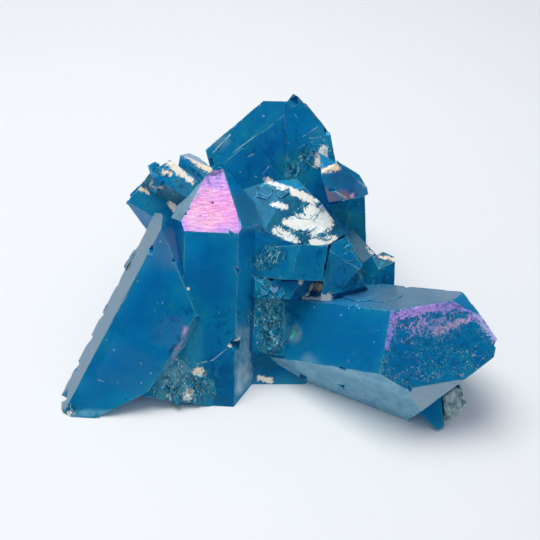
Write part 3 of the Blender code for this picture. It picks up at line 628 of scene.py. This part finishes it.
# In the broken middle and at the foot.
painted_glint((8.3, -10.0, 17.2), 1.0, 0.8, end=(9.9, -7.2, 14.6))
painted_glint((7.3, -11.4, 15.3), 1.1, 0.0, end=(11.6, -13.3, 17.2))
painted_glint((6.1, -12.1, 20.4), 0.9, 0.2)
painted_glint((18.4, -4.9, 16.2), 0.7, 0.6)
painted_glint((-8.5, -21.4, 11.2), 0.5, 0.35, end=(-6.4, -20.0, 11.7))
painted_glint((-14.8, -24.0, 6.0), 1.4, 0.5)
painted_glint((-17.4, -26.6, 2.9), 1.5, 0.0)
painted_glint((-41.0, -30.2, 0.6), 0.8, 0.2)
painted_glint((-2.4, -20.5, 1.0), 0.7, 0.35, end=(-0.2, -20.8, 0.5))
painted_glint((-16.7, -15.4, 21.1), 0.5)
painted_glint((22.3, -4.9, 21.1), 0.55, 0.85, end=(25.3, -6.1, 21.1))
painted_glint((20.4, -1.4, 20.2), 0.5, 0.1, end=(21.6, -2.6, 19.2))
# At the back and low on the sides.
painted_glint((-1.8, 22.4, 40.2), 0.6, 0.3, end=(-3.2, 20.2, 40.8))
painted_glint((-11.6, 21.0, 31.0), 0.9, 0.6, end=(-9.4, 18.0, 33.4))
painted_glint((-18.2, 11.8, 30.6), 0.8, 0.2, end=(-15.8, 9.6, 30.2))
painted_glint((-6.0, 20.6, 6.4), 1.3, 0.1, end=(-9.6, 20.4, 9.0))
painted_glint((22.4, 4.0, 5.6), 1.1, 0.5, end=(20.4, 0.6, 8.6))
painted_glint((17.6, 3.6, 16.6), 0.9, 0.8, end=(16.4, 9.6, 16.2))
painted_glint((-25.6, 2.6, 9.4), 1.1, 0.3, end=(-27.6, 6.6, 6.0))

# Where the inside is broken, its cracks and planes show through the skin, as (centre, radius) in millimetres.
BROKEN_INSIDE = (
    ((4.0, 9.0, 35.0), 10), ((3.0, -10.0, 25.5), 8), ((13.0, -9.0, 22.0), 8), ((-0.5, -15.0, 14.0), 8),
    ((17.0, 1.0, 24.0), 8), ((-21.0, 4.0, 33.0), 9), ((-17.5, -25.5, 6.0), 8), ((-14.0, 4.0, 35.0), 5),
    ((-5.5, -18.0, 12.0), 7), ((-18.5, -20.0, 15.0), 5), ((22.0, -6.0, 18.0), 6), ((-9.0, 11.0, 39.0), 6),
    ((-6.0, 21.0, 8.0), 10), ((20.0, 4.0, 8.0), 8), ((16.0, 12.0, 20.0), 9), ((-26.0, 6.0, 9.0), 9),
    ((-2.0, 22.0, 26.0), 9), ((-24.0, 12.0, 24.0), 7), ((-8.0, 19.0, 34.0), 6), ((30.0, -12.0, 12.0), 6),
)
inside_broken = np.max([near(points, centre, 1.4 * radius) for centre, radius in BROKEN_INSIDE], axis=0)
glitter = np.repeat(looking(ways, *TIP), 3) * near(points, (33, -27, 19), 26)[corners]
ripples = np.repeat(looking(ways, *TIP_FACE), 3) * near(points, (-10, -2, 34), 20)[corners]

colours = body.color_attributes.new("film_and_sheen", "FLOAT_COLOR", "CORNER")
colours.data.foreach_set("color", film_and_sheen.ravel())
marks = body.color_attributes.new("marks", "FLOAT_COLOR", "CORNER")
painted = np.stack([glint_mark[corners], rough_zone[corners], glitter, ripples], axis=1)
marks.data.foreach_set("color", painted.ravel())
rims = body.attributes.new("rims", "FLOAT", "POINT")
rims.data.foreach_set("value", from_edge)
glint_gold_level = body.attributes.new("glint_gold_level", "FLOAT", "POINT")
glint_gold_level.data.foreach_set("value", glint_gold)
cracks = body.attributes.new("cracks", "FLOAT", "POINT")
cracks.data.foreach_set("value", inside_broken)

coat = bpy.data.materials.new("aqua aura film on quartz")
coat.use_nodes = True
shader = coat.node_tree.nodes["Principled BSDF"]


def add(kind, **values):
    """A node of the coat, with its settings and the values or links of its inputs, by name or by number."""
    made = coat.node_tree.nodes.new("ShaderNode" + kind)
    for name, value in values.items():
        if hasattr(made, name) and not name.startswith("in_"):
            setattr(made, name, value)
            continue
        name = name.removeprefix("in_")
        socket = made.inputs[int(name)] if name.isdigit() else made.inputs[name.replace("_", " ")]
        if isinstance(value, bpy.types.NodeSocket):
            coat.node_tree.links.new(value, socket)
        else:
            socket.default_value = value
    return made


def maths(operation, a, b=0.0, clamp=False):
    """The result of one sum on two values or links."""
    return add("Math", operation=operation, use_clamp=clamp, in_0=a, in_1=b).outputs[0]


def times(*factors):
    """The product of two or more values or links."""
    product = factors[0]
    for factor in factors[1:]:
        product = maths("MULTIPLY", product, factor)
    return product


def between(value, low, high):
    """0 below low, 1 above high, and a smooth rise between. Where low is above high, it falls instead."""
    step = add("MapRange", interpolation_type="SMOOTHSTEP", in_Value=value)
    step.inputs["From Min"].default_value = min(low, high)
    step.inputs["From Max"].default_value = max(low, high)
    return step.outputs["Result"] if low < high else maths("SUBTRACT", 1.0, step.outputs["Result"])


def mixed(share, a, b):
    """Colour a, turning to colour b as share goes from 0 to 1."""
    return add("MixRGB", in_Fac=share, in_Color1=a, in_Color2=b).outputs["Color"]


def paint(*levels):
    """A screen colour as the value of a colour input."""
    return (*linear(*levels), 1)


def noise(scale, detail=3.0, roughness=0.5, distortion=0.0, at=None):
    """Cloudy noise with so many cells to the metre."""
    return add("TexNoise", in_Vector=at or place, in_Scale=scale, in_Detail=detail, in_Roughness=roughness,
               in_Distortion=distortion).outputs["Fac"]


def drawn_out(x, y, z):
    """Object coordinates in which a pattern is longer along an axis, the smaller that axis's value is."""
    stretched = add("Mapping", in_Vector=place)
    stretched.inputs["Scale"].default_value = (x, y, z)
    return stretched.outputs["Vector"]


place = add("TexCoord").outputs["Object"]
film_and_sheen_colour = add("Attribute", attribute_name="film_and_sheen")
mark = add("Attribute", attribute_name="marks")
mark_parts = add("SeparateColor", in_Color=mark.outputs["Color"])
on_glint, on_rough, on_glitter = (mark_parts.outputs[name] for name in ("Red", "Green", "Blue"))
on_ripples = mark.outputs["Alpha"]
rim = add("Attribute", attribute_name="rims").outputs["Fac"]
gold = add("Attribute", attribute_name="glint_gold_level").outputs["Fac"]
cracked = add("Attribute", attribute_name="cracks").outputs["Fac"]
upright = drawn_out(1, 1, 0.3)

# The blue: deep in the middle of the faces, drifting to teal, with paler clouds and faint upright veils.
blue = mixed(between(noise(90, 4, 0.6), 0.35, 0.7), paint(0, 139, 214), paint(0, 156, 219))
blue = mixed(times(between(noise(210, 5, 0.65, 1.0), 0.48, 0.75), 0.4), blue, paint(34, 172, 206))
blue = mixed(times(between(noise(45, 2), 0.52, 0.75), 0.45), blue, paint(0, 114, 186))
blue = mixed(times(between(noise(620, 4, 0.65, at=upright), 0.55, 0.78), 0.3), blue, paint(70, 178, 214))
blue = mixed(times(between(noise(1500, 4, 0.7), 0.56, 0.72), 0.22), blue, paint(0, 104, 160))

# Light gathers along the edges of the clear quartz, and near the table, and leaves the middle of a face deep.
glow = times(between(rim, 2.4, 0.0), between(noise(180, 4, 0.6), 0.30, 0.62))
blue = mixed(times(glow, 0.42), blue, paint(36, 178, 216))
blue = mixed(times(between(rim, 2.0, 4.2), 0.25), blue, paint(0, 110, 186))
height_up = add("SeparateXYZ", in_Vector=place).outputs["Z"]
blue = mixed(times(between(height_up, 0.0026, 0.0), 0.45), blue, paint(80, 188, 220))

# The film over it is thin and patchy. On the tip of the lying point it is torn into fine grains.
grain = noise(1900, 5, 0.75)
thinner = times(between(noise(1200, 4, 0.7), 0.5, 0.7), 0.2)
patchy = times(film_and_sheen_colour.outputs["Alpha"], maths("SUBTRACT", 1.0, thinner))
clump = noise(360, 4, 0.6, 0.6, at=drawn_out(0.55, 1, 1))
loose = maths("ADD", times(maths("SUBTRACT", grain, 0.5), 3.0), times(maths("SUBTRACT", clump, 0.5), 1.6))
torn = between(maths("ADD", film_and_sheen_colour.outputs["Alpha"], loose), 0.42, 0.58)
on_tip = maths("GREATER_THAN", on_glitter, 0.02)
film_and_sheen_share = maths("ADD", times(patchy, maths("SUBTRACT", 1.0, on_tip)), times(torn, on_tip), clamp=True)
base = mixed(film_and_sheen_share, blue, film_and_sheen_colour.outputs["Color"])

# Pink, white and teal grains on that tip, with dark pits between them.
hollow = times(between(noise(1150, 4, 0.7, 0.8), 0.50, 0.40), on_glitter)
base = mixed(times(hollow, 0.55), base, paint(0, 84, 122))
fleck = times(between(noise(2300, 3, 0.7, 0.6), 0.58, 0.64), between(clump, 0.46, 0.58), on_glitter)
base = mixed(times(fleck, 0.85), base, paint(222, 206, 240))
teal_fleck = times(between(noise(1700, 3, 0.7, 0.4), 0.40, 0.34), on_glitter)
base = mixed(times(teal_fleck, 0.6), base, paint(30, 170, 178))

# Ripples on the pink face: warm crests and violet troughs that follow low growth steps, and a few dark pits.
ripple = noise(1700, 4, 0.66, 0.9, at=drawn_out(0.3, 1, 1))
base = mixed(times(between(ripple, 0.52, 0.66), on_ripples, 0.35), base, paint(255, 206, 214))
base = mixed(times(between(ripple, 0.47, 0.36), on_ripples, 0.40), base, paint(176, 108, 204))
pits = add("TexVoronoi", in_Vector=place, in_Scale=420.0)
pit_random = add("SeparateColor", in_Color=pits.outputs["Color"])
rare = maths("GREATER_THAN", pit_random.outputs["Red"], 0.86)
pink_pit = times(between(pits.outputs["Distance"], 0.18, 0.10), rare, on_ripples)
base = mixed(pink_pit, base, paint(84, 46, 100))

# Rough zones: dark teal between small faces, some pale, and painted highlights as silver slivers.
shard_place = drawn_out(1, 1, 0.22)
shards = add("TexVoronoi", in_Vector=shard_place, in_Scale=1700.0)
shard_random = add("SeparateColor", in_Color=shards.outputs["Color"])
base = mixed(times(on_rough, 0.35), base, paint(24, 130, 150))
pale_shard = maths("GREATER_THAN", shard_random.outputs["Red"], 0.58)
base = mixed(times(pale_shard, on_rough, 0.5), base, paint(100, 188, 202))
dark_shard = maths("LESS_THAN", shard_random.outputs["Red"], 0.22)
base = mixed(times(dark_shard, on_rough, 0.45), base, paint(0, 80, 112))
streaks = maths("ADD", noise(1500, 5, 0.8, 1.0, at=drawn_out(1, 1, 0.18)), times(on_rough, 0.08))
sliver_highlight = times(between(streaks, 0.65, 0.68), between(on_rough, 0.1, 0.4))
base = mixed(sliver_highlight, base, paint(220, 242, 240))

# The broken inside shows through the skin as sea green and dark patches, with a few painted glints between
# them.
patch = noise(300, 6, 0.72, 1.6, at=drawn_out(1, 1, 0.7))
base = mixed(times(between(patch, 0.50, 0.62), cracked, 0.55), base, paint(34, 146, 160))
base = mixed(times(between(patch, 0.46, 0.34), cracked, 0.6), base, paint(0, 64, 98))
glint = noise(1300, 6, 0.8, 1.8, at=drawn_out(1, 1, 0.55))
spark = times(between(glint, 0.655, 0.685), between(cracked, 0.1, 0.6))
base = mixed(times(spark, 0.8), base, paint(176, 226, 228))

seam_noise = noise(1500, 4, 0.7)


def seam(start, end, width):
    """1 on the line between two places, in millimetres, and 0 beyond its width: the distance of each point
    from its foot on the line, roughened a little."""
    start, end = Vector(start) * MM, Vector(end) * MM
    along = end - start
    arm = add("VectorMath", operation="SUBTRACT", in_0=place, in_1=start).outputs["Vector"]
    share = add("VectorMath", operation="DOT_PRODUCT", in_0=arm, in_1=along / along.length_squared)
    share = maths("ADD", share.outputs["Value"], 0.0, clamp=True)
    foot = add("VectorMath", operation="SCALE", in_0=along, in_Scale=share).outputs["Vector"]
    away = add("VectorMath", operation="DISTANCE", in_0=arm, in_1=foot).outputs["Value"]
    return between(maths("ADD", away, times(seam_noise, 0.45 * width * MM)), width * MM, 0.55 * width * MM)


# Fine straight steps, where one growth layer ends and the next goes on, and open cracks.
seams = (
    seam((-8.2, 9.4, 37.0), (5.0, 14.2, 45.8), 0.18), seam((4.8, 13.4, 44.1), (6.9, 12.3, 40.6), 0.18),
    seam((6.5, 11.8, 39.6), (9.7, 13.6, 40.9), 0.18), seam((7.6, 11.7, 39.1), (10.3, 12.6, 39.0), 0.18),
    seam((-5.8, 8.9, 36.1), (-3.7, 9.5, 36.8), 0.18), seam((-0.6, 8.6, 34.3), (-2.2, 7.6, 32.5), 0.18),
    seam((-12.3, 9.9, 36.9), (-8.7, 12.0, 39.9), 0.30), seam((11.9, -0.8, 35.3), (15.2, -1.0, 33.1), 0.18),
    seam((11.7, -13.1, 18.1), (17.2, -12.4, 18.0), 0.18), seam((-2.0, -13.6, 16.9), (3.8, -12.8, 16.1), 0.18),
    seam((-3.5, 7.5, 32.5), (1.7, 5.9, 31.1), 0.24), seam((-28.7, -27.4, 4.8), (-26.6, -26.8, 5.6), 0.18),
    seam((-15.1, -23.0, 7.6), (-11.9, -22.7, 8.4), 0.22),
    seam((-11.9, -22.7, 8.4), (-8.4, -21.4, 11.1), 0.18),
    seam((-34.9, -26.2, 6.3), (-28.7, -27.4, 4.6), 0.18),
)
lines = seams[0]
for line in seams[1:]:
    lines = maths("MAXIMUM", lines, line)
base = mixed(times(lines, between(noise(420, 4, 0.7), 0.40, 0.52), 0.8), base, paint(190, 222, 228))

# Specks of dust and fine bubbles under the film.
dust = add("TexVoronoi", in_Vector=place, in_Scale=620.0)
dust_random = add("SeparateColor", in_Color=dust.outputs["Color"]).outputs["Blue"]
speck = times(between(dust.outputs["Distance"], 0.16, 0.08), maths("GREATER_THAN", dust_random, 0.78))
base = mixed(times(speck, 0.6), base, paint(176, 214, 226))

dark_speck = times(between(dust.outputs["Distance"], 0.14, 0.07), maths("LESS_THAN", dust_random, 0.12))
base = mixed(times(dark_speck, 0.75), base, paint(26, 40, 100))

# Painted reflections of the light with torn rims, white or gold, rosy where the gold thins out.
tear = maths("ADD", on_glint, times(noise(820, 6, 0.8, 1.2), 2.2))
glint_shown = times(between(tear, 1.60, 1.65), maths("GREATER_THAN", on_glint, 0.02))
glint_colour = mixed(between(noise(900, 4, 0.7), 0.45, 0.6), paint(255, 255, 250), paint(252, 250, 232))
gold_colour = mixed(between(tear, 1.62, 1.90), paint(232, 160, 150), paint(255, 236, 190))
glint_colour = mixed(gold, glint_colour, gold_colour)
base = mixed(glint_shown, base, glint_colour)
glint_share = maths("MAXIMUM", glint_shown, sliver_highlight, clamp=True)

# Painted highlights along the sharp edges, fainter where the film is thick.
edge_highlight = times(between(rim, 0.20, 0.08), between(noise(300, 4, 0.6), 0.42, 0.56))
base = mixed(times(edge_highlight, maths("SUBTRACT", 0.75, times(film_and_sheen_share, 0.4))), base, paint(116, 190, 212))
coat.node_tree.links.new(base, shader.inputs["Base Color"])

opaque = maths("MAXIMUM", film_and_sheen_share, glint_share, clamp=True)
clear = times(maths("SUBTRACT", 1.0, opaque), 0.45)
coat.node_tree.links.new(clear, shader.inputs["Transmission Weight"])
metal = times(maths("SUBTRACT", 1.0, glint_share), 0.10)
coat.node_tree.links.new(metal, shader.inputs["Metallic"])
matt = maths("ADD", maths("ADD", 0.13, times(film_and_sheen_share, 0.12)), times(noise(600, 3), 0.10))
coat.node_tree.links.new(matt, shader.inputs["Roughness"])
shader.inputs["IOR"].default_value = 1.54
shader.inputs["Specular IOR Level"].default_value = 0.4
shader.inputs["Specular Tint"].default_value = (0.10, 0.55, 1.0, 1)

# Fine relief: tilted shards in the rough zones, growth ripples, pits and the grains of the tip.
tilt = add("VectorMath", operation="SUBTRACT", in_0=shards.outputs["Color"], in_1=(0.5, 0.5, 0.5))
offset = add("VectorMath", operation="SUBTRACT", in_0=shard_place, in_1=shards.outputs["Position"])
shard_height = add("VectorMath", operation="DOT_PRODUCT", in_0=tilt.outputs["Vector"],
                   in_1=offset.outputs["Vector"]).outputs["Value"]
deep = maths("GREATER_THAN", pit_random.outputs["Green"], 0.86)
pit = times(between(pits.outputs["Distance"], 0.16, 0.04), deep)
heights = (
    times(shard_height, on_rough, 0.7), times(ripple, on_ripples, 0.22 * MM),
    times(noise(900, 5, 0.6), 0.03 * MM), times(pit, -0.12 * MM),
    times(grain, on_glitter, 0.16 * MM), times(fleck, 0.06 * MM),
)
total_height = heights[0]
for part in heights[1:]:
    total_height = maths("ADD", total_height, part)
relief = add("Bump", in_Height=total_height, in_Distance=1.0, in_Strength=1.0)
coat.node_tree.links.new(relief.outputs["Normal"], shader.inputs["Normal"])

absorption = coat.node_tree.nodes.new("ShaderNodeVolumeAbsorption")
absorption.inputs["Color"].default_value = (0.10, 0.62, 0.90, 1)
absorption.inputs["Density"].default_value = 35.0
surface = coat.node_tree.nodes["Material Output"]
coat.node_tree.links.new(absorption.outputs["Volume"], surface.inputs["Volume"])

body.materials.clear()
body.materials.append(coat)
body.polygons.foreach_set("use_smooth", np.ones(len(body.polygons), bool))
body.set_sharp_from_angle(angle=math.radians(14))
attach(quartz, "root")
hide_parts("quartz_cluster")

# ======== The crumb of crust ========
# A crumb of the pale, weathered rock that the quartz grew on, still stuck beside the splinter.

CRUST_STEP = 0.2

crust = merged_copy("matrix_crust", "crust")
lump_points, lump_triangles, lump_ways, _ = facet_net(crust, CRUST_STEP * MM)
outward = corner_ways(len(lump_points), lump_triangles, lump_ways)
# It crumbles by lumps of three sizes, always inwards.
crumble = 0.45 * lumps(lump_points, 1.6, 3) + 0.2 * lumps(lump_points, 0.7, 4)
crumble += 0.1 * lumps(lump_points, 0.35, 5) - 0.45
crumble = np.minimum(crumble, 0) * (lump_points[:, 2] > 0.05 * MM)
lump_points = lump_points + outward * crumble[:, None] * MM
lump_points[:, 2] = np.maximum(lump_points[:, 2], 0)
rubble = bpy.data.meshes.new("crumb of crust")
rubble.from_pydata(lump_points, [], lump_triangles.tolist())
crust.data = rubble
rock = bpy.data.materials.new("pale crust")
rock.use_nodes = True
stone = rock.node_tree.nodes["Principled BSDF"]
stone.inputs["Roughness"].default_value = 0.85
spots = rock.node_tree.nodes.new("ShaderNodeTexNoise")
spots.inputs["Scale"].default_value = 1100.0
spots.inputs["Detail"].default_value = 6.0
where = rock.node_tree.nodes.new("ShaderNodeTexCoord")
shades = rock.node_tree.nodes.new("ShaderNodeValToRGB")
shades.color_ramp.elements[0].position = 0.36
shades.color_ramp.elements[0].color = (*linear(126, 166, 176), 1)
shades.color_ramp.elements[1].position = 0.64
shades.color_ramp.elements[1].color = (*linear(214, 228, 222), 1)
grit = rock.node_tree.nodes.new("ShaderNodeBump")
grit.inputs["Strength"].default_value = 0.6
grit.inputs["Distance"].default_value = 0.0003
rock.node_tree.links.new(where.outputs["Object"], spots.inputs["Vector"])
rock.node_tree.links.new(spots.outputs["Fac"], shades.inputs["Fac"])
rock.node_tree.links.new(shades.outputs["Color"], stone.inputs["Base Color"])
rock.node_tree.links.new(spots.outputs["Fac"], grit.inputs["Height"])
rock.node_tree.links.new(grit.outputs["Normal"], stone.inputs["Normal"])
crust.data.materials.clear()
crust.data.materials.append(rock)
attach(crust, "root")
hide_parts("matrix_crust")
